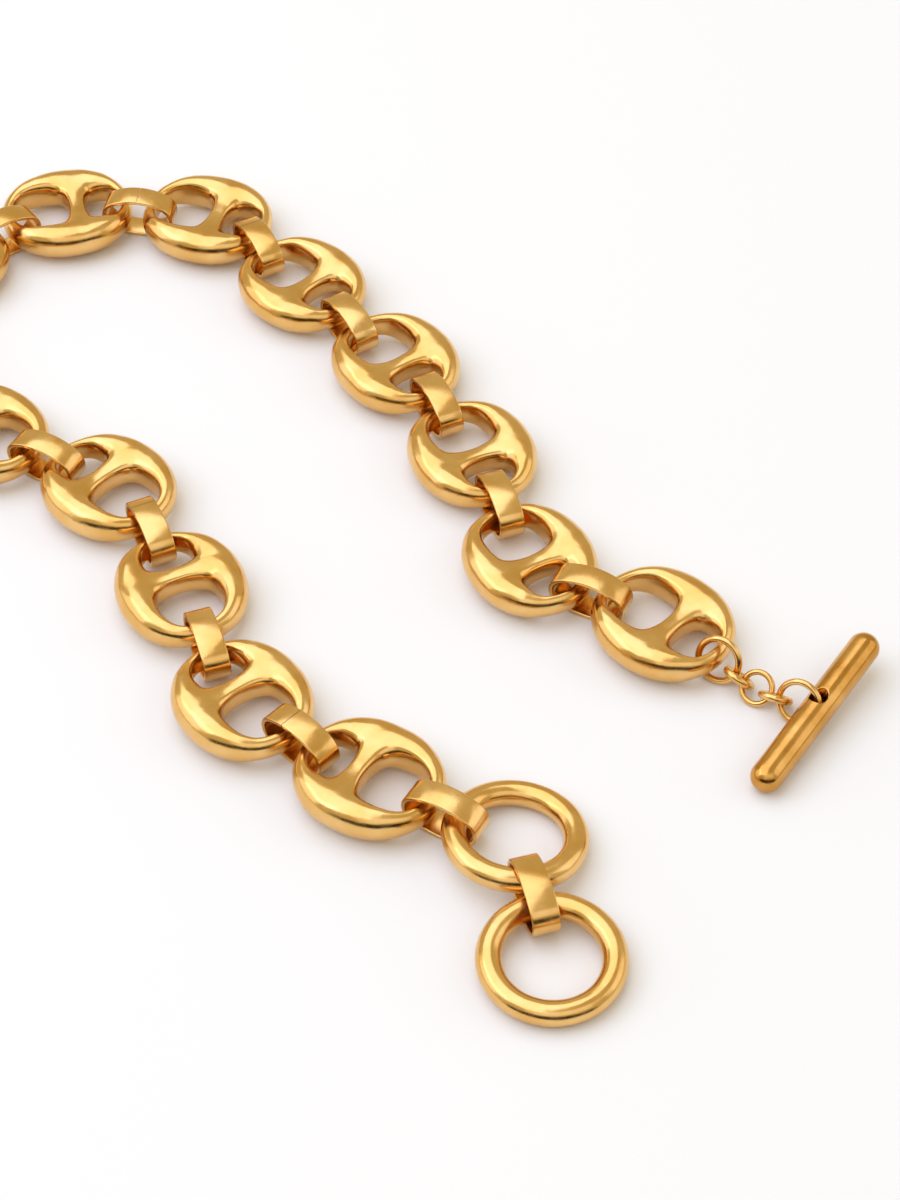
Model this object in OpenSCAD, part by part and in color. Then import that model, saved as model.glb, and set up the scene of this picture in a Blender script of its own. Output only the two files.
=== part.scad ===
// Mariner link chain, a necklace that lies open on a flat surface with its toggle bar out of its ring.
// The origin is at the middle of the footprint, at the surface. +X is right, +Y is away and +Z is up.

/* [Puffed link] */
// Length of a link, over both end bars
link_l = 23.2; // [21:0.1:27]
// Width of a link
link_w = 20.8; // [18:0.1:24]
// Height of the end bars and of the crossbar, on the middle line of a link
bar_h = 4.2; // [3.4:0.1:4.8]
// How far the two flanks stand proud of the bars, above and below
flank_rise = 1.4; // [1.1:0.05:2.2]
// How far in from the side edge the flank reaches its full height
flank_in = 2.4; // [1.6:0.1:3.2]
// How far to each side of the middle line the bars keep their own height
bar_reach = 2.8; // [2.4:0.1:3.6]
// Width of the end bar beyond the small hole
end_bar = 2.1; // [1.6:0.05:2.6]
// Width of the end bar beyond the big hole
big_end_bar = 2.6; // [2.1:0.05:2.9]
// Width of the crossbar between the two holes
cross_bar = 2.9; // [2:0.05:3.4]
// Length of the small hole
small_l = 6.2; // [5.8:0.1:7.4]
// Width of the small hole
small_w = 7.4; // [6.8:0.1:8.6]
// Width of the big hole
big_w = 9.5; // [8.6:0.1:12]
// Round of the edges of both holes
rim_r = 0.85; // [0.5:0.05:1.1]
// Squareness of the link's oval, where 2 is an ellipse
oval_n = 2.1; // [2:0.05:2.6]
// Squareness of the big hole
big_n = 2.7; // [2:0.05:2.8]
// Squareness of the small hole
small_n = 2.6; // [2:0.05:2.8]

/* [Band connector] */
// Thickness of the strip
band_t = 0.65; // [0.5:0.05:0.75]
// Width of the strip
strip_w = 4.1; // [3.4:0.1:5]
// Play of two end bars along a band
band_play = 6.5; // [5.5:0.1:7.1]
// Play of an end bar up and down in a band
band_rise = 2; // [1.8:0.1:2.4]
// Radius of a band's two ends, outside
band_end_r = 3; // [2.4:0.1:3.3]

/* [Round rings] */
// Diameter of a ring, at the middle of its wire
ring_d = 17.5; // [15:0.1:22]
// Thickness of a ring's wire
ring_wire = 3.8; // [3:0.1:4.2]
// Heading of the inner ring's side that touches the surface
inner_low = 60; // [48:1:66]
// How far the two rings lap over each other
ring_lap = 0.1; // [0.05:0.05:0.2]

/* [Toggle bar] */
// Length of the bar, over its round ends
bar_l = 32.8; // [29:0.1:40]
// Thickness of the bar
bar_d = 4.8; // [4:0.1:5]
// Diameter of the cross hole
bore_d = 2.6; // [2.5:0.05:2.8]
// How far the cross hole lies off the bar's middle line, towards the chain
bore_side = 0.3; // [0:0.05:0.35]

/* [Fine chain] */
// Diameter of the jump ring on the first link, at the middle of its wire
jump_d = 6.6; // [6.2:0.1:8]
// Wire of the jump ring
jump_wire = 1.1; // [0.8:0.05:1.3]
// Diameter of the two thick small links, at the middle of their wire
thick_d = 4.2; // [3.7:0.1:4.8]
// Wire of the thick small links
thick_wire = 1.2; // [0.9:0.05:1.3]
// Diameter of the thin small link, at the middle of its wire
thin_d = 4.8; // [4:0.1:5.2]
// Wire of the thin small link
thin_wire = 0.9; // [0.7:0.05:1.1]
// Diameter of the ring through the bar, at the middle of its wire
bar_ring_d = 6.5; // [6.2:0.1:8]
// Wire of the ring through the bar
bar_ring_wire = 1; // [0.8:0.05:1.1]
// Lean of the jump ring and the bar's ring from flat
ring_lean = 65; // [58:1:72]
// Lean of the small links from flat
small_lean = 45; // [38:1:52]

/* [Fit] */
// Gap that pieces keep where they bear on each other
fit_gap = 0.1; // [0.05:0.01:0.15]
// Gap that the fine chain's pieces keep where they pull on each other
chain_gap = 0.2; // [0.15:0.01:0.25]

/* [Hidden] */
metal = "goldenrod";
// Facets round a large circle and round a wire
fine = 96;
wire_fn = 48;

link_t = bar_h + 2 * flank_rise;
link_z = link_t / 2;
big_l = link_l - end_bar - big_end_bar - cross_bar - small_l;
big_at = link_l / 2 - big_end_bar - big_l / 2;
small_at = -(link_l / 2 - end_bar - small_l / 2);
split_at = big_at - big_l / 2 - cross_bar / 2;
flank_at = link_w / 2 - flank_in;

band_l = 2 * band_t + end_bar + big_end_bar + band_play;
band_h = bar_h + 2 * band_t + band_rise;
band_end_at = band_l / 2 - band_end_r;
band_side_r = (pow(band_h / 2, 2) + pow(band_end_at, 2) - pow(band_end_r, 2)) / (band_h - 2 * band_end_r);
band_meet = band_end_at * band_side_r / (band_side_r - band_end_r);
ring_r = ring_d / 2;
bar_r = bar_d / 2;

// The chain as it lies, one row for each link from the toggle bar's end. The columns are the heading of
// the link's big hole, the way to the next link, the space between the two links' ends as a share of
// band_play, the heading of the band between them, and the band's shift to the left and forward as
// shares of the small hole's spare width and of band_play. The last row's next piece is the inner ring.
ROUTE = [
    [137, 146.5, 0.115, 154, 0.25, 0.1],
    [121, 110.5, 0.269, 109, 0, 0.054],
    [117, 120.5, 0.226, 115, -0.2, 0.054],
    [126, 129.5, 0.32, 122, 0, -0.02],
    [137, 135, 0.118, 118, -0.3, 0.108],
    [161, 176, 0.215, 171, -0.3, 0],
    [192, 214.5, 0.075, 215, -0.4, 0],
    [229, 257, 0.151, 257, -0.7, 0],
    [280, 312, 0.151, 320, -0.6, -0.108],
    [322, 330.5, 0.215, 331, 0.1, 0.054],
    [317, 300.5, 0.334, 294, 0.4, -0.054],
    [294, 295, 0.226, 289, -0.2, 0.054],
    [308, 322, 0.14, 316, -0.2, 0],
    [329, 334, 0.151, 330, -0.3, 0.108]
];
link_count = len(ROUTE);

// Headings of the way from the inner ring to the toggle ring, and of the band that holds them.
ring_way = 283;
end_band_heading = 286;
// How far the end band lies towards the toggle ring, as a share of band_play.
end_band_slide = 0.075;

// Headings of the fine chain's pieces, from the jump ring to the ring through the bar.
FINE_HEADINGS = [-36, -39, -39, -32, -35];
// How far the jump ring lies out from the middle of the end bar, as a share of its spare inside, and
// how far it dips towards the next piece, as a share of the slope down to it.
jump_out = 0.1;
jump_dip = 0.3;

// Where the first link's middle lies, before the footprint is centred.
first_link = [84, 90];

function two(n) = n < 10 ? str("0", n) : str(n);
LINK_NODES = [for (i = [1 : link_count]) str("link_", two(i))];
BAND_NODES = [for (i = [1 : link_count - 1]) str("band_", two(i))];
CLASP_NODES = ["ring_band", "end_band", "inner_ring", "toggle_ring", "toggle_bar"];
FINE_NODES = ["jump_ring", "chain_link_1", "chain_link_2", "chain_link_3", "bar_ring"];

function way(a) = [cos(a), sin(a)];
function signed_pow(x, p) = sign(x) * pow(abs(x), p);

// Places along the route
function step_at(i) = link_l + ROUTE[i][2] * band_play;
function link_at(i) = i == 0 ? first_link : link_at(i - 1) + step_at(i - 1) * way(ROUTE[i - 1][1]);
function band_shift(i) = ROUTE[i][4] * (small_w - strip_w) * way(ROUTE[i][3] + 90)
    + ROUTE[i][5] * band_play * way(ROUTE[i][3]);
function band_at(i) = link_at(i) + band_shift(i)
    + (step_at(i) + end_bar - big_end_bar) / 2 * way(ROUTE[i][1]);

// The rings: the toggle ring leans on the strip under its far side, the inner ring on the toggle ring's
// wire
last_link = link_count - 1;
wire_apart = ring_wire - ring_lap;
wire_seat_r = band_side_r - band_t - ring_wire / 2 - fit_gap;
wire_lift = band_side_r - sqrt(pow(wire_seat_r, 2) - pow(wire_apart / 2, 2)) - ring_wire / 2;
ring_spacing = ring_d + wire_apart;
ring_step = sqrt(pow(ring_wire + fit_gap, 2) - pow(wire_apart, 2));
toggle_rise = wire_lift / 2;
inner_rise = (wire_lift + ring_step) / (1 - cos(ring_way - inner_low));
toggle_tilt = asin(toggle_rise / ring_r);
inner_tilt = asin(inner_rise / ring_r);
inner_at = link_at(last_link)
    + (link_l / 2 + ring_r + ring_wire / 2 + ROUTE[last_link][2] * band_play) * way(ROUTE[last_link][1]);
toggle_at = inner_at + ring_spacing * way(ring_way);
ring_band_at = link_at(last_link)
    + (link_l + ROUTE[last_link][2] * band_play) / 2 * way(ROUTE[last_link][1]) + band_shift(last_link);
end_band_at = (inner_at + toggle_at) / 2 + end_band_slide * band_play * way(ring_way);

// The fine chain: each piece has its diameter, wire and lean, and hangs in the one before it
FINE = [
    [jump_d, jump_wire, ring_lean],
    [thick_d, thick_wire, -small_lean],
    [thin_d, thin_wire, small_lean],
    [thick_d, thick_wire, -small_lean],
    [bar_ring_d, bar_ring_wire, ring_lean]
];
fine_last = len(FINE) - 1;
function fine_z(i) = FINE[i][0] / 2 * abs(sin(FINE[i][2])) + FINE[i][1] / 2 + fit_gap / 2;
function fine_hold(i, j) = FINE[i][0] / 2 - (FINE[i][1] + FINE[j][1] + 2 * chain_gap) / 4;
function fine_reach(i) = fine_hold(i, i + 1) + fine_hold(i + 1, i);
function fine_run(i) = sqrt(pow(fine_reach(i), 2) - pow(fine_z(i + 1) - fine_z(i), 2));
function fine_pitch(i) = i == 0 ? jump_dip * atan2(fine_z(1) - fine_z(0), fine_run(0))
    : i == fine_last ? 0
    : atan2(fine_z(i + 1) - fine_z(i - 1), fine_run(i) + fine_run(i - 1));
jump_free = jump_d - jump_wire - end_bar;
jump_at = link_at(0) - (link_l / 2 - end_bar / 2 + jump_out * jump_free) * way(ROUTE[0][0]);
function fine_at(i) = i == 0 ? jump_at
    : fine_at(i - 1) + fine_run(i - 1) * way((FINE_HEADINGS[i - 1] + FINE_HEADINGS[i]) / 2);

// The toggle bar rests on one end and on the ring that passes under its middle
bar_heading = FINE_HEADINGS[fine_last] + 90;
bore_half = bar_r / sin(ring_lean);
bore_bow = bar_ring_d / 2 - sqrt(pow(bar_ring_d / 2, 2) - pow(bore_half, 2));
bore_at = bar_ring_d / 2 - bore_bow / 2;
bar_mid = fine_at(fine_last) + (bore_at + bore_side) * way(FINE_HEADINGS[fine_last]);
bar_mid_z = fine_z(fine_last);
cap_reach = bar_l / 2 - bar_r;
bar_tilt = asin((bar_mid_z - bar_r) / cap_reach);
bar_end = bar_mid + cap_reach * cos(bar_tilt) * way(bar_heading);

// Shape of a puffed link: a belt of faces runs round the oval's edge, and inside it two rings of faces,
// one round each hole, meet on the crossbar's middle line. CHORD holds the steps along that line, LAND
// those from a hole's rim out to the belt, BELT those from the belt's inner side to the edge, and arc_n
// the belt's steps beside each hole.
CHORD = [-1, -0.75, -0.4, 0, 0.4, 0.75, 1];
LAND = [0, 0.17, 0.5];
BELT = [0, 0.55, 0.88];
arc_n = 18;
chord_n = len(CHORD) - 1;
round_n = chord_n + arc_n;
belt_m = 2 * arc_n;
land_n = len(LAND);
belt_n = len(BELT);
// The belt's inner side as a share of the oval, at the flanks, and what is added to it at the tips
belt_flank = 0.8;
belt_more = 0.1;
// Each hole's middle, half length, half width and squareness
HOLES = [[big_at, big_l / 2, big_w / 2, big_n], [small_at, small_l / 2, small_w / 2, small_n]];
// The share of the oval at which the puffed surface starts to fall to the edge, at the flanks and at
// the tips
flank_core = 0.65;
tip_core = 0.88;

split_angle = acos(signed_pow(split_at / (belt_flank * link_l / 2), oval_n / 2));
function outline(a) = [
    link_l / 2 * signed_pow(cos(a), 2 / oval_n),
    link_w / 2 * signed_pow(sin(a), 2 / oval_n)
];
function edge_point(m) = outline(m <= arc_n ? split_angle * (1 - 2 * m / arc_n)
    : split_angle + (360 - 2 * split_angle) * (2 - m / arc_n));
function belt_point(b, m) = let (
    e = edge_point(m),
    inner = belt_flank + belt_more * pow(e[0] * 2 / link_l, 2)
) (inner + (1 - inner) * BELT[b]) * e;
split_v = belt_point(0, 0)[1];
function chord_at(k) = [split_at, split_v * CHORD[k]];
function belt_step(side, k) = k == 0 ? arc_n : side == 0 ? k - chord_n : (belt_m + chord_n - k) % belt_m;
function ring_point(side, k) = k > 0 && k < chord_n ? chord_at(k) : belt_point(0, belt_step(side, k));
function power_sum(p, half_l, half_w, n) =
    pow(pow(abs(p[0]) / half_l, n) + pow(abs(p[1]) / half_w, n), 1 / n);
function rim_reach(hole, d) = 1 / power_sum(d, hole[1], hole[2], hole[3]);
function rim_point(hole, p) = let (c = [hole[0], 0], d = (p - c) / norm(p - c)) c + d * rim_reach(hole, d);

function flank_share(v) = min(1, max(0, abs(v) - bar_reach) / (flank_at - bar_reach));
function crest(v) = bar_h / 2 + flank_rise * (1 - cos(180 * flank_share(v))) / 2;
function oval_share(p) = power_sum(p, link_l / 2, link_w / 2, oval_n);
function core_share(p, rho) = flank_core + (tip_core - flank_core) * pow(abs(p[0]) * 2 / link_l / rho, 4);
function puff(p) = let (rho = oval_share(p), core = core_share(p, rho))
    rho <= core ? 1 : sqrt(max(0, 1 - pow((rho - core) / (1 - core), 2)));
function rim_drop(d) = d >= rim_r ? 0 : rim_r - sqrt(pow(rim_r, 2) - pow(rim_r - d, 2));
function top_at(p, d) = crest(p[1]) * puff(p) - rim_drop(d);

function raised(p, d, up) = [p[0], p[1], up * top_at(p, d)];
function land_point(side, j, k, up) = let (
    q = ring_point(side, k),
    r = rim_point(HOLES[side], q)
) raised(r + LAND[j] * (q - r), LAND[j] * norm(q - r), up);

LINK_POINTS = concat(
    [
        for (side = [0, 1], j = [0 : land_n - 1], k = [0 : round_n - 1], up = [1, -1])
            land_point(side, j, k, up)
    ],
    [for (k = [1 : chord_n - 1], up = [1, -1]) raised(chord_at(k), rim_r, up)],
    [for (b = [0 : belt_n - 1], m = [0 : belt_m - 1], up = [1, -1]) raised(belt_point(b, m), rim_r, up)],
    [for (m = [0 : belt_m - 1]) concat(edge_point(m), 0)]
);
chord_first = 4 * land_n * round_n;
belt_first = chord_first + 2 * (chord_n - 1);
edge_first = belt_first + 2 * belt_n * belt_m;
function belt_index(b, m, low) = b < belt_n ? belt_first + (b * belt_m + m) * 2 + low : edge_first + m;
function ring_index(side, k, low) = k > 0 && k < chord_n ? chord_first + (k - 1) * 2 + low
    : belt_index(0, belt_step(side, k), low);
function index_at(side, j, k, low) = j < land_n ? ((side * land_n + j) * round_n + k) * 2 + low
    : ring_index(side, k, low);
function two_faces(a, b, c, d, turned) = turned ? [[a, c, b], [a, d, c]] : [[a, b, c], [a, c, d]];
LAND_FACES = [
    for (side = [0, 1], k = [0 : round_n - 1])
        let (n = (k + 1) % round_n)
            each concat(
                [for (j = [0 : land_n - 1], low = [0, 1]) each two_faces(
                    index_at(side, j, k, low), index_at(side, j + 1, k, low),
                    index_at(side, j + 1, n, low), index_at(side, j, n, low), side != low)],
                two_faces(
                    index_at(side, 0, k, 0), index_at(side, 0, n, 0),
                    index_at(side, 0, n, 1), index_at(side, 0, k, 1), side == 1)
            )
];
BELT_FACES = [
    for (b = [0 : belt_n - 1], m = [0 : belt_m - 1], low = [0, 1])
        let (n = (m + 1) % belt_m)
            each two_faces(
                belt_index(b, m, low), belt_index(b + 1, m, low),
                belt_index(b + 1, n, low), belt_index(b, n, low), low == 1)
];

// The footprint's middle, from the outlines of the links, the toggle ring and the bar's raised end
OUTLINE = [for (m = [0 : belt_m - 1]) edge_point(m)];
LEFT = [
    for (i = [0 : link_count - 1], p = OUTLINE) link_at(i)[0] + p * [cos(ROUTE[i][0]), -sin(ROUTE[i][0])]
];
FAR = [
    for (i = [0 : link_count - 1], p = OUTLINE) link_at(i)[1] + p * [sin(ROUTE[i][0]), cos(ROUTE[i][0])]
];
near_y = toggle_at[1] - ring_r * sqrt(1 - pow(sin(toggle_tilt) * sin(ring_way), 2)) - ring_wire / 2;
right_x = bar_end[0] + bar_r;
middle = [(min(LEFT) + right_x) / 2, (near_y + max(FAR)) / 2];

module lie(at, z = 0) {
    translate([at[0] - middle[0], at[1] - middle[1], z]) children();
}

module link(i) {
    color(metal) lie(link_at(i), link_z) rotate([0, 0, ROUTE[i][0]])
        polyhedron(points = LINK_POINTS, faces = concat(LAND_FACES, BELT_FACES), convexity = 6);
}

// The band's oval of four arcs, drawn in by a distance
module band_oval(inset) {
    for (x = [-band_end_at, band_end_at]) translate([x, 0]) circle(r = band_end_r - inset, $fn = fine);
    intersection() {
        translate([0, band_h / 2 - band_side_r]) circle(r = band_side_r - inset, $fn = fine);
        translate([0, band_side_r - band_h / 2]) circle(r = band_side_r - inset, $fn = fine);
        square([2 * band_meet, band_h], center = true);
    }
}

module band_loop(at, heading) {
    color(metal) lie(at, band_h / 2) rotate([90, 0, heading])
        linear_extrude(height = strip_w, center = true) difference() {
            band_oval(0);
            band_oval(band_t);
        }
}

module band(i) {
    band_loop(band_at(i), ROUTE[i][3]);
}

module ring_band() {
    band_loop(ring_band_at, ROUTE[last_link][3]);
}

module end_band() {
    band_loop(end_band_at, end_band_heading);
}

module wire_ring(d, wire) {
    rotate_extrude($fn = fine) translate([d / 2, 0]) circle(d = wire, $fn = wire_fn);
}

// A ring that leans down to the side it is headed to
module leaning_ring(at, rise, tilt, low) {
    color(metal) lie(at, ring_wire / 2 + rise) rotate([0, tilt, low]) wire_ring(ring_d, ring_wire);
}

module inner_ring() {
    leaning_ring(inner_at, inner_rise, inner_tilt, inner_low);
}

module toggle_ring() {
    leaning_ring(toggle_at, toggle_rise, toggle_tilt, ring_way);
}

module fine_frame(i) {
    lie(fine_at(i), fine_z(i)) rotate([0, -fine_pitch(i), FINE_HEADINGS[i]])
        rotate([FINE[i][2], 0, 0]) children();
}

module fine_piece(i) {
    color(metal) fine_frame(i) wire_ring(FINE[i][0], FINE[i][1]);
}

module toggle_bar() {
    color(metal) difference() {
        lie(bar_mid, bar_mid_z) rotate([0, 90 - bar_tilt, bar_heading]) {
            cylinder(r = bar_r, h = 2 * cap_reach, center = true, $fn = fine);
            for (z = [-cap_reach, cap_reach]) translate([0, 0, z]) sphere(r = bar_r, $fn = fine);
        }
        fine_frame(fine_last) translate([bore_at, 0, 0]) rotate([90, 0, 0])
            cylinder(d = bore_d, h = 4 * bar_d, center = true, $fn = fine);
    }
}

for (i = [0 : link_count - 1]) link(i);
for (i = [0 : link_count - 2]) band(i);
ring_band();
end_band();
inner_ring();
toggle_ring();
toggle_bar();
for (i = [0 : fine_last]) fine_piece(i);
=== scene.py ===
# %% [markdown]
# # A gold necklace, laid open
# The necklace is a chain of puffed mariner links. Each link is held to the next by a flat strip bent to a
# loop, and the chain ends in two round rings on one side and a toggle bar on the other. The solids of every
# piece are already there, in metres and in place. This lesson dresses them: it gives each piece the finer
# form of the real metal, then the gold, and then sets up the table, the lights and the camera.

# %% Load the solids
import bpy
from math import asin, cos, degrees, pi, radians, sin, tau
from mathutils import Matrix, Vector


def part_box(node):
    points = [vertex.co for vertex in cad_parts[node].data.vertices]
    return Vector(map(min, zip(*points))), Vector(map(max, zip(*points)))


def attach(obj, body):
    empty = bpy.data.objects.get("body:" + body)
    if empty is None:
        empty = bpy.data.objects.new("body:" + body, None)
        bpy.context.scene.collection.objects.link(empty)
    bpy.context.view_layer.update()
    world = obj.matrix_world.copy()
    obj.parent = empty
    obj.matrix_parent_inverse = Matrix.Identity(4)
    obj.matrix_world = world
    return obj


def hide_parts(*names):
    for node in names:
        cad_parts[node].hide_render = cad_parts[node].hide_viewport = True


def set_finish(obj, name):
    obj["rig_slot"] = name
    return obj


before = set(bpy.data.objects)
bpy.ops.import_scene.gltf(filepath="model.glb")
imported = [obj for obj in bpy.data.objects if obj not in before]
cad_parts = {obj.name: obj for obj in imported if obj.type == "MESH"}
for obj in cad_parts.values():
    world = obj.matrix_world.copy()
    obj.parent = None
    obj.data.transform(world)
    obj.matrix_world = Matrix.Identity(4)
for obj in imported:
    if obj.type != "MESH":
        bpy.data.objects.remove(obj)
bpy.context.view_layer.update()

print("solids:", len(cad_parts))

# %% [markdown]
# Most operators act on whatever is selected, and the solids come in selected. So each step starts by
# picking the one object that it works on, and nothing else. Edit mode is entered and left in the same way
# each time.

# %% Picking an object
MM = 0.001


def pick(piece):
    bpy.ops.object.select_all(action="DESELECT")
    piece.select_set(True)
    bpy.context.view_layer.objects.active = piece


def edit(select_mode="FACE", action="SELECT"):
    bpy.ops.object.mode_set(mode="EDIT")
    bpy.ops.mesh.select_mode(type=select_mode)
    bpy.ops.mesh.select_all(action=action)


def leave_edit():
    bpy.ops.object.mode_set(mode="OBJECT")


def add_and_apply(piece, kind, **settings):
    modifier = piece.modifiers.new(kind.title(), kind)
    for name, value in settings.items():
        setattr(modifier, name, value)
    pick(piece)
    bpy.ops.object.modifier_apply(modifier=modifier.name)


print("one millimetre is", MM)

# %% [markdown]
# A solid's place is in its points, so its middle, its directions and its sizes are read from them. The
# longest direction of a band is the way it lies, and the shortest direction of a ring is the way its hole
# faces. Reading these from the solids is safer than typing them in: a piece then always lies where its
# solid lies.

# %% Where a solid lies
import numpy as np


class Lie:
    """Middle, directions and sizes of a solid, from its points."""

    def __init__(self, node):
        low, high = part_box(node)
        self.middle = (low + high) / 2
        points = np.array([v.co - self.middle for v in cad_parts[node].data.vertices])
        directions = np.linalg.eigh(points.T @ points)[1]
        self.directions = [Vector(directions[:, k]).normalized() for k in (2, 1, 0)]
        reach = [points @ np.array(d) for d in self.directions]
        self.sizes = [float(r.max() - r.min()) for r in reach]

    def matrix(self, x, z):
        """Turns local X to one direction and local Z to another, at the solid's middle."""
        y = z.cross(x).normalized()
        turn = Matrix((x, y, z)).transposed().to_4x4()
        return Matrix.Translation(self.middle) @ turn


toggle_ring_lie = Lie("toggle_ring")
print("toggle ring, mm:", [round(s / MM, 2) for s in toggle_ring_lie.sizes])

# %% [markdown]
# Every finished piece takes its solid's place in the necklace: it rides on the one body, hides the solid
# that it stands for, and names the finish that it takes. Its own turn and place are put into its mesh, so
# that patterns on its surface stay where they are.

# %% Putting a piece in place
SHARP_ANGLE = radians(40)


def dress(piece, node, finish):
    pick(piece)
    bpy.ops.object.transform_apply(location=True, rotation=True, scale=True)
    bpy.ops.object.shade_smooth_by_angle(angle=SHARP_ANGLE)
    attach(piece, "root")
    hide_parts(node)
    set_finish(piece, finish)
    return piece


dressed = {}
print("edges past", round(degrees(SHARP_ANGLE)), "degrees stay sharp")

# %% [markdown]
# ## The puffed links
# A mariner link is pressed from two sheets of brass into a hollow, puffed oval, with a small and a big hole
# and a crossbar between them. It could be modelled from a torus with a bridge across, but the solid already
# holds the true outline and height, only in coarse facets. So its points are merged, its triangles are
# paired into quads, and Subdivision Surface rounds that cage. A Smooth modifier between its two steps evens
# out the folds that the facets leave in the puffed flanks. The corners relax by a hair's breadth, which
# keeps the links clear of the bands. The edges of the holes were trimmed after pressing and look crisper,
# so they get a light crease, which holds the rounding back. Pressed and hand-polished sheet is never quite
# even, so a Displace modifier with a soft cloud texture then sinks the surface by up to a seventh of a
# millimetre, at another place on each link, and the highlights waver as on the real one.

# %% The links
LINK_COUNT = 14
MERGE_DISTANCE = 0.001 * MM
PAIR_ANGLE = radians(80)
EVEN_SHARE = 0.5
EVEN_ROUNDS = 10
RIM_ANGLE = radians(52)
RIM_CREASE = 0.25
POLISHED_DEPTH = 0.14 * MM
POLISHED_PATCH = 4.5 * MM

polished = bpy.data.textures.new("polished", "CLOUDS")
polished.noise_scale = POLISHED_PATCH


def sink(piece, texture, depth):
    """Sinks the surface by up to the depth, and never raises it."""
    add_and_apply(piece, "DISPLACE", texture=texture, texture_coords="LOCAL", strength=-depth, mid_level=0)


def puffed_link(node):
    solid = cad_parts[node]
    link = bpy.data.objects.new("puffed_" + node, solid.data.copy())
    bpy.context.scene.collection.objects.link(link)
    pick(link)
    edit()
    bpy.ops.mesh.remove_doubles(threshold=MERGE_DISTANCE)
    bpy.ops.mesh.tris_convert_to_quads(face_threshold=PAIR_ANGLE, shape_threshold=PAIR_ANGLE)
    edit("EDGE", "DESELECT")
    bpy.ops.mesh.edges_select_sharp(sharpness=RIM_ANGLE)
    bpy.ops.transform.edge_crease(value=RIM_CREASE)
    leave_edit()
    bpy.ops.mesh.customdata_custom_splitnormals_clear()
    add_and_apply(link, "SUBSURF", levels=1, render_levels=1)
    add_and_apply(link, "SMOOTH", factor=EVEN_SHARE, iterations=EVEN_ROUNDS)
    add_and_apply(link, "SUBSURF", levels=1, render_levels=1)
    sink(link, polished, POLISHED_DEPTH)
    return link


for number in range(1, LINK_COUNT + 1):
    node = f"link_{number:02d}"
    dressed[node] = dress(puffed_link(node), node, "link_gold")
print("links:", LINK_COUNT, "with", len(dressed["link_01"].data.polygons), "faces each")

# %% [markdown]
# ## The bands
# A band is a strip of flat brass bent round a mandrel into an oval loop, and its two ends butt on the upper
# side. The model is made in the same way. A small rectangle is the end of the strip; its corners are
# beveled, because real strip is tumbled soft. Spin then bends it along the loop's four arcs: two tight
# ends, and two long, flat sides.

# %% The strip's end
STRIP_THICKNESS = 0.65 * MM
STRIP_EDGE = 0.2 * MM
EDGE_SEGMENTS = 3
BAND_END_RADIUS = 3.0 * MM
SEAM_GAP = 0.11 * MM

band_lie = Lie("band_01")
band_long, band_high, strip_width = band_lie.sizes
end_at = band_long / 2 - BAND_END_RADIUS
side_radius = ((band_high / 2) ** 2 + end_at**2 - BAND_END_RADIUS**2) / (band_high - 2 * BAND_END_RADIUS)
half_side_turn = asin(end_at / (side_radius - BAND_END_RADIUS))
print("band, mm:", round(band_long / MM, 2), "long and", round(band_high / MM, 2), "high")
print("each long side turns", round(degrees(2 * half_side_turn)), "degrees")


def strip_end(at_angle):
    """A small face across the strip, on the loop's upper side, ready to be bent."""
    bpy.ops.object.select_all(action="DESELECT")
    bpy.ops.mesh.primitive_plane_add(size=1, location=(0, 0, 0))
    strip = bpy.context.object
    strip.scale = (STRIP_THICKNESS, strip_width, 1)
    bpy.ops.object.transform_apply(location=False, rotation=False, scale=True)
    edit("VERT")
    bpy.ops.mesh.bevel(offset=STRIP_EDGE, segments=EDGE_SEGMENTS, affect="VERTICES")
    bpy.ops.mesh.select_all(action="SELECT")
    bpy.ops.transform.rotate(value=-pi / 2, orient_axis="Y", center_override=(0, 0, 0))
    bpy.ops.transform.translate(value=(0, 0, side_radius - STRIP_THICKNESS / 2))
    bpy.ops.transform.rotate(value=-at_angle, orient_axis="Y", center_override=(0, 0, 0))
    bpy.ops.transform.translate(value=(0, 0, band_high / 2 - side_radius))
    leave_edit()
    return strip


# %% [markdown]
# Spin needs each arc's middle and its turn. The strip starts at its seam on the upper side, runs right
# round the loop and stops a hair short of where it began. With no window, spin turns the other way, so its
# angle is given negative.

# %% Bending a band
SIDE_STEPS = 14
END_STEPS = 20


def bend(turn, middle, steps):
    bpy.ops.mesh.spin(steps=steps, angle=-turn, center=middle, axis=(0, 1, 0))


def bent_strip(seam_angle, gap):
    strip = strip_end(seam_angle)
    upper = (0, 0, band_high / 2 - side_radius)
    lower = (0, 0, side_radius - band_high / 2)
    end_turn = pi - 2 * half_side_turn
    pick(strip)
    edit()
    bend(half_side_turn - seam_angle, upper, SIDE_STEPS)
    bend(end_turn, (end_at, 0, 0), END_STEPS)
    bend(2 * half_side_turn, lower, 2 * SIDE_STEPS)
    bend(end_turn, (-end_at, 0, 0), END_STEPS)
    bend(half_side_turn + seam_angle - gap / side_radius, upper, SIDE_STEPS)
    leave_edit()
    return strip


print("steps round a band:", 4 * SIDE_STEPS + 2 * END_STEPS)

# %% [markdown]
# Most bands show no seam, because it lies on their underside. One closed loop stands for all of them: its
# two end faces are deleted and the edges left behind are merged. It is modelled once, and each band is a
# copy with a mesh of its own. Four bands show their seam, each in another place, so these four are bent one
# by one. Each seam's place is measured from the middle of the upper side, towards the band's far end.

# %% The bands
BANDS = [f"band_{number:02d}" for number in range(1, LINK_COUNT)] + ["ring_band", "end_band"]
SEAM_TO_FAR_END = {"band_05": 2.7 * MM, "band_06": 0, "band_11": 3.0 * MM, "band_13": 1.8 * MM}
STRIP_CORNERS = 4


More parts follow.
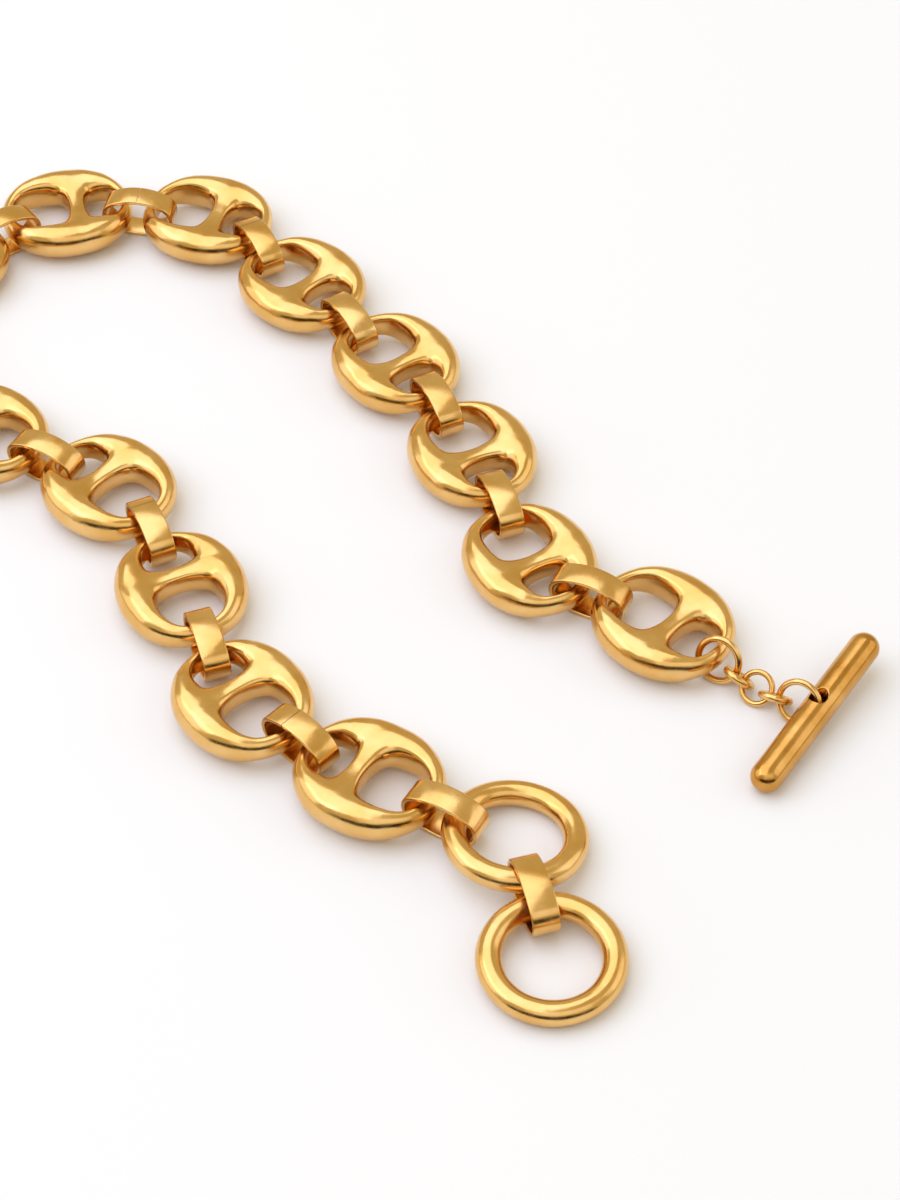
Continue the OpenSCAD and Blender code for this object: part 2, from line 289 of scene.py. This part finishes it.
def tidy_faces(piece):
    """Merges what lies in one place and turns all the faces outwards."""
    pick(piece)
    edit()
    bpy.ops.mesh.remove_doubles(threshold=MERGE_DISTANCE)
    bpy.ops.mesh.normals_make_consistent(inside=False)
    leave_edit()
    return piece


def closed_loop():
    loop = bent_strip(0, 0)
    pick(loop)
    edit(action="DESELECT")
    bpy.ops.mesh.select_face_by_sides(number=STRIP_CORNERS, type="GREATER")
    bpy.ops.mesh.delete(type="ONLY_FACE")
    leave_edit()
    return tidy_faces(loop)


def lay_band(loop, node):
    lie = Lie(node)
    along = Vector((lie.directions[0].x, lie.directions[0].y, 0)).normalized()
    if along.y < 0:
        along.negate()
    loop.matrix_world = lie.matrix(along, Vector((0, 0, 1)))
    loop.name = "strip_" + node
    return dress(loop, node, "band_gold")


pattern_loop = closed_loop()
for node in BANDS:
    if node in SEAM_TO_FAR_END:
        loop = tidy_faces(bent_strip(SEAM_TO_FAR_END[node] / side_radius, SEAM_GAP))
    else:
        pick(pattern_loop)
        bpy.ops.object.duplicate()
        loop = bpy.context.object
    dressed[node] = lay_band(loop, node)
bpy.data.objects.remove(pattern_loop)
print("bands:", len(BANDS), "with", len(dressed["band_01"].data.polygons), "faces each")

# %% [markdown]
# ## The round rings
# The two rings at the open end are cast and filed by hand, so their wire isn't quite even. A torus is the
# plain form. A soft cloud texture then sinks its surface by about a tenth of a millimetre at most, as on
# the links, which is enough to make a highlight waver as it runs round the wire.

# %% The two big rings
RING_STEPS = 128
RING_SIDES = 40
FILED_DEPTH = 0.11 * MM
FILED_PATCH = 5.5 * MM

filed = bpy.data.textures.new("filed", "CLOUDS")
filed.noise_scale = FILED_PATCH


def round_ring(node):
    lie = Lie(node)
    wire = lie.sizes[2]
    bpy.ops.object.select_all(action="DESELECT")
    bpy.ops.mesh.primitive_torus_add(
        major_segments=RING_STEPS,
        minor_segments=RING_SIDES,
        major_radius=(lie.sizes[0] - wire) / 2,
        minor_radius=wire / 2,
    )
    ring = bpy.context.object
    ring.name = "round_" + node
    ring.matrix_world = lie.matrix(lie.directions[0], lie.directions[2])
    return ring


for node in ("inner_ring", "toggle_ring"):
    ring = round_ring(node)
    sink(ring, filed, FILED_DEPTH)
    dressed[node] = dress(ring, node, "ring_gold")
print("big rings:", round(toggle_ring_lie.sizes[0] / MM, 1), "mm over the wire")

# %% [markdown]
# ## The fine chain
# Jump rings are cut from a coil of wire, so each is a wire bent round until its two cut ends meet. That is
# again a spin: a small disc, the cut end, goes round the ring's middle and stops just short of a full turn.

# %% The small rings
SMALL_RINGS = ["jump_ring", "chain_link_1", "chain_link_2", "chain_link_3", "bar_ring"]
WIRE_SIDES = 24
WIRE_STEPS = 72
CUT_GAP = 0.03 * MM


def jump_ring(node):
    lie = Lie(node)
    wire = lie.sizes[2]
    radius = (lie.sizes[0] - wire) / 2
    bpy.ops.object.select_all(action="DESELECT")
    bpy.ops.mesh.primitive_circle_add(
        vertices=WIRE_SIDES,
        radius=wire / 2,
        fill_type="NGON",
        location=(radius, 0, 0),
        rotation=(pi / 2, 0, 0),
    )
    ring = bpy.context.object
    ring.name = "bent_" + node
    bpy.ops.object.transform_apply(location=True, rotation=True, scale=True)
    edit()
    turn = tau - CUT_GAP / radius
    bpy.ops.mesh.spin(steps=WIRE_STEPS, angle=-turn, center=(0, 0, 0), axis=(0, 0, 1))
    leave_edit()
    tidy_faces(ring)
    ring.matrix_world = lie.matrix(lie.directions[0], lie.directions[2])
    return ring


for node in SMALL_RINGS:
    dressed[node] = dress(jump_ring(node), node, "fine_gold")
print("small rings:", len(SMALL_RINGS))

# %% [markdown]
# ## The toggle bar
# The bar is a turned rod with rounded ends and one drilled hole. That hole isn't in the middle of the rod's
# thickness, so the spread of all the solid's points would give a direction that is a hair off. The middles
# of its two ends give the true one, and the rod's length and thickness follow from it.

# %% Where the bar lies
END_SHARE = 0.8

bar_lie = Lie("toggle_bar")
bar_points = [v.co - bar_lie.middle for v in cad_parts["toggle_bar"].data.vertices]


def middle_of_end(side):
    """The middle of the points close to one end; side is 1 or -1."""
    way = side * bar_lie.directions[0]
    near = [point for point in bar_points if point.dot(way) > END_SHARE * bar_lie.sizes[0] / 2]
    return sum(near, Vector()) / len(near)


bar_way = (middle_of_end(1) - middle_of_end(-1)).normalized()
bar_length = 2 * max(point.dot(bar_way) for point in bar_points)
bar_radius = max(point.cross(bar_way).length for point in bar_points)
print("bar, mm:", round(bar_length / MM, 2), "long and", round(2 * bar_radius / MM, 2), "thick")

# %% [markdown]
# A cylinder is the rod, and a wide bevel with many segments rounds its ends. A tiny flat stays at each end,
# and the rod is made that much shorter, so that the flat doesn't stand out of the solid's round end. The
# long faces are cut across by Subdivide before the hole is drilled, because a hole through long, thin faces
# shades badly. Both steps work on edges that a rule picks out by where their two points are.

# %% The turned rod
ROD_SIDES = 72
ROD_CUTS = 60
END_FLAT = 0.03 * MM
END_SEGMENTS = 12


def edit_edges(piece, wanted):
    """Opens a piece in edit mode with only the wanted edges selected."""
    pick(piece)
    edit("EDGE", "DESELECT")
    leave_edit()
    for edge in piece.data.edges:
        edge.select = wanted(*[piece.data.vertices[v].co for v in edge.vertices])
    bpy.ops.object.mode_set(mode="EDIT")


bpy.ops.object.select_all(action="DESELECT")
bpy.ops.mesh.primitive_cylinder_add(vertices=ROD_SIDES, radius=bar_radius, depth=bar_length - 2 * END_FLAT)
rod = bpy.context.object
rod.name = "turned_toggle_bar"
edit_edges(rod, lambda a, b: a.z * b.z > 0)
bpy.ops.mesh.bevel(offset=bar_radius - END_FLAT, segments=END_SEGMENTS)
leave_edit()
edit_edges(rod, lambda a, b: (a - b).length > bar_length / 2)
bpy.ops.mesh.subdivide(number_cuts=ROD_CUTS)
leave_edit()
print("rod, mm:", [round(s / MM, 2) for s in rod.dimensions])

# %% [markdown]
# The hole runs where the small ring passes through the bar. That ring's own plane gives the drill its lean,
# and the drill lies a little to the chain's side of the bar's middle line, as on the real one. The rim of a
# drilled hole is never sharp once the bar has been tumbled, so its edge is found by its angle and beveled.

# %% The drilled hole
HOLE_RADIUS = 1.3 * MM
HOLE_OFF_MIDDLE = 0.3 * MM
RIM_BEVEL = 0.14 * MM
RIM_SHARPNESS = radians(35)
DRILL_SIDES = 40
DRILL_LENGTH = 8 * bar_radius

bar_across = Vector((bar_way.y, -bar_way.x, 0)).normalized()
rod.matrix_world = bar_lie.matrix(bar_across, bar_way)
ring_lie = Lie("bar_ring")
if bar_across.dot(bar_lie.middle - ring_lie.middle) < 0:
    bar_across.negate()
drill_way = ring_lie.directions[2].cross(bar_across).normalized()
bpy.ops.object.select_all(action="DESELECT")
bpy.ops.mesh.primitive_cylinder_add(vertices=DRILL_SIDES, radius=HOLE_RADIUS, depth=DRILL_LENGTH)
drill = bpy.context.object
drill.matrix_world = (
    Matrix.Translation(bar_lie.middle - HOLE_OFF_MIDDLE * bar_across)
    @ drill_way.to_track_quat("Z", "Y").to_matrix().to_4x4()
)
bpy.context.view_layer.update()
add_and_apply(rod, "BOOLEAN", object=drill, operation="DIFFERENCE", solver="EXACT")
bpy.data.objects.remove(drill)
pick(rod)
edit("EDGE", "DESELECT")
bpy.ops.mesh.edges_select_sharp(sharpness=RIM_SHARPNESS)
bpy.ops.mesh.bevel(offset=RIM_BEVEL, segments=EDGE_SEGMENTS)
leave_edit()
dressed["toggle_bar"] = dress(rod, "toggle_bar", "bar_gold")
print("bar:", len(rod.data.polygons), "faces")

# %% [markdown]
# ## The gold
# All pieces are brass with a thick gold plate, rubbed by hand to a satin shine. A plate is never one
# colour: it wanders between a pale and a deep gold. The toggle bar's plate is a shade darker than the rest,
# near to bronze. A finish is a tree of nodes, so two helpers come first: one adds a node and sets its
# inputs, and one lays a bump over another.

# %% Colours and two helpers
PALE_GOLD = (0.86, 0.545, 0.205, 1)
DEEP_GOLD = (0.78, 0.45, 0.13, 1)
PALE_BRONZE = (0.74, 0.4, 0.11, 1)
DEEP_BRONZE = (0.56, 0.26, 0.045, 1)


def node_of(tree, kind, **inputs):
    made = tree.nodes.new(kind)
    for name, value in inputs.items():
        made.inputs[name.replace("_", " ")].default_value = value
    return made


def bump_on(tree, height, depth, below=None):
    """A bump of this depth, on top of the one below it."""
    bump = node_of(tree, "ShaderNodeBump", Distance=depth)
    tree.links.new(height, bump.inputs["Height"])
    if below is not None:
        tree.links.new(below, bump.inputs["Normal"])
    return bump.outputs["Normal"]


print("pale gold:", PALE_GOLD[:3])

# %% [markdown]
# One function makes every finish. Five noise textures are its patterns: patches of colour, wear that
# changes the roughness, waves left by the hand, long scratches, and a fine grain. They read Object
# coordinates in metres, so they run through the whole chain and no two links look the same, and a scale
# counts patterns per metre: 190 gives patches of about five millimetres. The scratches are stretched,
# because a rub goes back and forth in one direction.

# %% A hand-rubbed gold
PATCH_SCALE = 190
WEAR_SCALE = 620
WAVE_SCALE = 230
GRAIN_SCALE = 4200
GRAIN_DEPTH = 0.004 * MM
SCRATCH_SCALES = (900, 130, 900)
SCRATCH_TURN = (0.3, 0.4, 0.7)
DEEP_UP_TO = 0.35
PALE_FROM = 0.65
LEAST_WEAR = 0.3
MOST_WEAR = 0.7


def rubbed_gold(name, roughness, waves, scratches, pale=PALE_GOLD, deep=DEEP_GOLD):
    """Roughness is a least and a most; waves and scratches are depths."""
    material = bpy.data.materials.new(name)
    material.use_nodes = True
    tree = material.node_tree
    shader = tree.nodes["Principled BSDF"]
    shader.inputs["Metallic"].default_value = 1
    place = tree.nodes.new("ShaderNodeTexCoord").outputs["Object"]

    patch = node_of(tree, "ShaderNodeTexNoise", Scale=PATCH_SCALE, Detail=3)
    wear = node_of(tree, "ShaderNodeTexNoise", Scale=WEAR_SCALE, Detail=6)
    wave = node_of(tree, "ShaderNodeTexNoise", Scale=WAVE_SCALE, Detail=1)
    grain = node_of(tree, "ShaderNodeTexNoise", Scale=GRAIN_SCALE, Detail=4)
    stretch = node_of(tree, "ShaderNodeMapping", Scale=SCRATCH_SCALES, Rotation=SCRATCH_TURN)
    scratch = node_of(tree, "ShaderNodeTexNoise", Scale=1, Detail=5)
    for texture in (patch, wear, wave, grain, stretch):
        tree.links.new(place, texture.inputs["Vector"])
    tree.links.new(stretch.outputs["Vector"], scratch.inputs["Vector"])

    colour = tree.nodes.new("ShaderNodeValToRGB")
    deep_stop, pale_stop = colour.color_ramp.elements
    deep_stop.position = DEEP_UP_TO
    deep_stop.color = deep
    pale_stop.position = PALE_FROM
    pale_stop.color = pale
    tree.links.new(patch.outputs["Fac"], colour.inputs["Fac"])
    tree.links.new(colour.outputs["Color"], shader.inputs["Base Color"])

    rub = node_of(tree, "ShaderNodeMapRange", From_Min=LEAST_WEAR, From_Max=MOST_WEAR)
    rub.inputs["To Min"].default_value, rub.inputs["To Max"].default_value = roughness
    tree.links.new(wear.outputs["Fac"], rub.inputs["Value"])
    tree.links.new(rub.outputs["Result"], shader.inputs["Roughness"])

    normal = bump_on(tree, wave.outputs["Fac"], waves)
    normal = bump_on(tree, scratch.outputs["Fac"], scratches, normal)
    normal = bump_on(tree, grain.outputs["Fac"], GRAIN_DEPTH, normal)
    tree.links.new(normal, shader.inputs["Normal"])
    return material


print("a patch of colour is about", round(1 / PATCH_SCALE / MM, 1), "mm wide")

# %% [markdown]
# The settings tell the pieces apart: how rough the rub is, how much the surface waves, and how deep the
# fine scratches are. The pressed links wave the most. The thin wires would look crumpled with so much, so
# they get the least.

# %% The five finishes
FINISHES = {
    "link_gold": dict(roughness=(0.14, 0.26), waves=0.16 * MM, scratches=0.012 * MM),
    "band_gold": dict(roughness=(0.15, 0.27), waves=0.07 * MM, scratches=0.012 * MM),
    "ring_gold": dict(roughness=(0.15, 0.27), waves=0.1 * MM, scratches=0.012 * MM),
    "fine_gold": dict(roughness=(0.15, 0.25), waves=0.03 * MM, scratches=0.006 * MM),
    "bar_gold": dict(
        roughness=(0.13, 0.25),
        waves=0.06 * MM,
        scratches=0.014 * MM,
        pale=PALE_BRONZE,
        deep=DEEP_BRONZE,
    ),
}
golds = {name: rubbed_gold(name, **settings) for name, settings in FINISHES.items()}

for piece in dressed.values():
    piece.data.materials.clear()
    piece.data.materials.append(golds[piece["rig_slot"]])
print("finishes:", sorted(golds))

# %% [markdown]
# ## Table and light
# Polished gold shows the room, tinted. So the room is built for the gold. A broad soft light hangs almost
# overhead, a little to the left and behind, which the tops of the pieces mirror to the camera. A weaker one
# stands on the left, two faint ones on the near side and the right, and the rest of the room stays dim,
# which gives the brown tones. The table is plain and almost white.

# %% The table
TABLE_SIZE = 4
TABLE_DROP = 0.01 * MM
TABLE_WHITE = (0.92, 0.92, 0.92, 1)
TABLE_ROUGHNESS = 0.8


def plain_paint(name, colour, roughness):
    paint = bpy.data.materials.new(name)
    paint.use_nodes = True
    shader = paint.node_tree.nodes["Principled BSDF"]
    shader.inputs["Base Color"].default_value = colour
    shader.inputs["Roughness"].default_value = roughness
    return paint


bpy.ops.object.select_all(action="DESELECT")
bpy.ops.mesh.primitive_plane_add(size=TABLE_SIZE, location=(0, 0, -TABLE_DROP))
table = bpy.context.object
table.name = "table"
table.data.materials.append(plain_paint("table_white", TABLE_WHITE, TABLE_ROUGHNESS))
print("table:", TABLE_SIZE, "m")

# %% [markdown]
# Area lights are the softboxes of a photographer: the bigger the box, the softer the edge of its mirror
# image in the metal. Every box faces the middle of the necklace. Their light is a little cool and the
# room's is warm, so the bright places look pale and the others golden, while the table, which gets both,
# stays white.

# %% The softboxes
COOL_LIGHT = (0.9, 1, 1.35)


def softbox(name, place, width, height, power):
    """A rectangle of light; its place and sides are in metres, its power in watts."""
    light = bpy.data.lights.new(name, "AREA")
    light.shape = "RECTANGLE"
    light.size = width
    light.size_y = height
    light.energy = power
    light.color = COOL_LIGHT
    lamp = bpy.data.objects.new(name, light)
    bpy.context.scene.collection.objects.link(lamp)
    lamp.location = place
    lamp.rotation_euler = (-Vector(place)).to_track_quat("-Z", "Y").to_euler()


softbox("overhead", place=(-0.35, 0.14, 0.95), width=1.6, height=1.15, power=6.8)
softbox("near", place=(0.2, -0.7, 0.8), width=1.4, height=0.6, power=1.3)
softbox("left", place=(-1.05, 0.05, 0.6), width=1, height=1, power=2.6)
softbox("right", place=(1.05, 0.1, 0.55), width=0.8, height=0.8, power=1.4)
print("lights:", len(bpy.data.lights))

# %% [markdown]
# A black card stands behind the camera. Its mirror image is the dark line low on every piece, between the
# image of the room and that of the table. Only the gold should show it, so it is hidden from a camera that
# looks from the other side. The rest of the room is one even, warm colour.

# %% The card and the room
CARD_BEHIND = 1.1
CARD_WIDTH = 3
CARD_HEIGHT = 0.5
CARD_BLACK = (0.03, 0.025, 0.02, 1)
WARM_ROOM = (1, 0.88, 0.55, 1)
ROOM_STRENGTH = 0.62

card_place = (0, -CARD_BEHIND, CARD_HEIGHT / 2)
bpy.ops.object.select_all(action="DESELECT")
bpy.ops.mesh.primitive_plane_add(size=1, location=card_place, rotation=(pi / 2, 0, 0))
card = bpy.context.object
card.name = "dark_card"
card.scale = (CARD_WIDTH, CARD_HEIGHT, 1)
card.data.materials.append(plain_paint("card_black", CARD_BLACK, 1))
card.visible_camera = False

room = bpy.data.worlds.new("room")
room.use_nodes = True
room.node_tree.nodes["Background"].inputs["Color"].default_value = WARM_ROOM
room.node_tree.nodes["Background"].inputs["Strength"].default_value = ROOM_STRENGTH
bpy.context.scene.world = room
bpy.context.scene.view_settings.view_transform = "Standard"
print("card:", CARD_WIDTH, "by", CARD_HEIGHT, "m")

# %% [markdown]
# ## The camera
# The photograph looks down at about 47 degrees, from in front and from close by. The camera's place follows
# from three numbers: the point that it aims at, its distance and its angle. Its lens follows from the focal
# length in pixels and the picture's longer side, which takes the whole width of the sensor.

# %% The camera
AIM = Vector((18.87, -9.45, 0)) * MM
DISTANCE = 443.8 * MM
LOOK_DOWN = radians(47.5)
PICTURE_HEIGHT_PX = 1200
FOCAL_LENGTH_PX = 2880

camera_data = bpy.data.cameras.new("camera")
camera_data.lens = camera_data.sensor_width * FOCAL_LENGTH_PX / PICTURE_HEIGHT_PX
camera = bpy.data.objects.new("camera", camera_data)
bpy.context.scene.collection.objects.link(camera)
camera.location = AIM + Vector((0, -cos(LOOK_DOWN), sin(LOOK_DOWN))) * DISTANCE
camera.rotation_euler = (pi / 2 - LOOK_DOWN, 0, 0)
bpy.context.scene.camera = camera
print("lens:", round(camera_data.lens, 1), "mm")
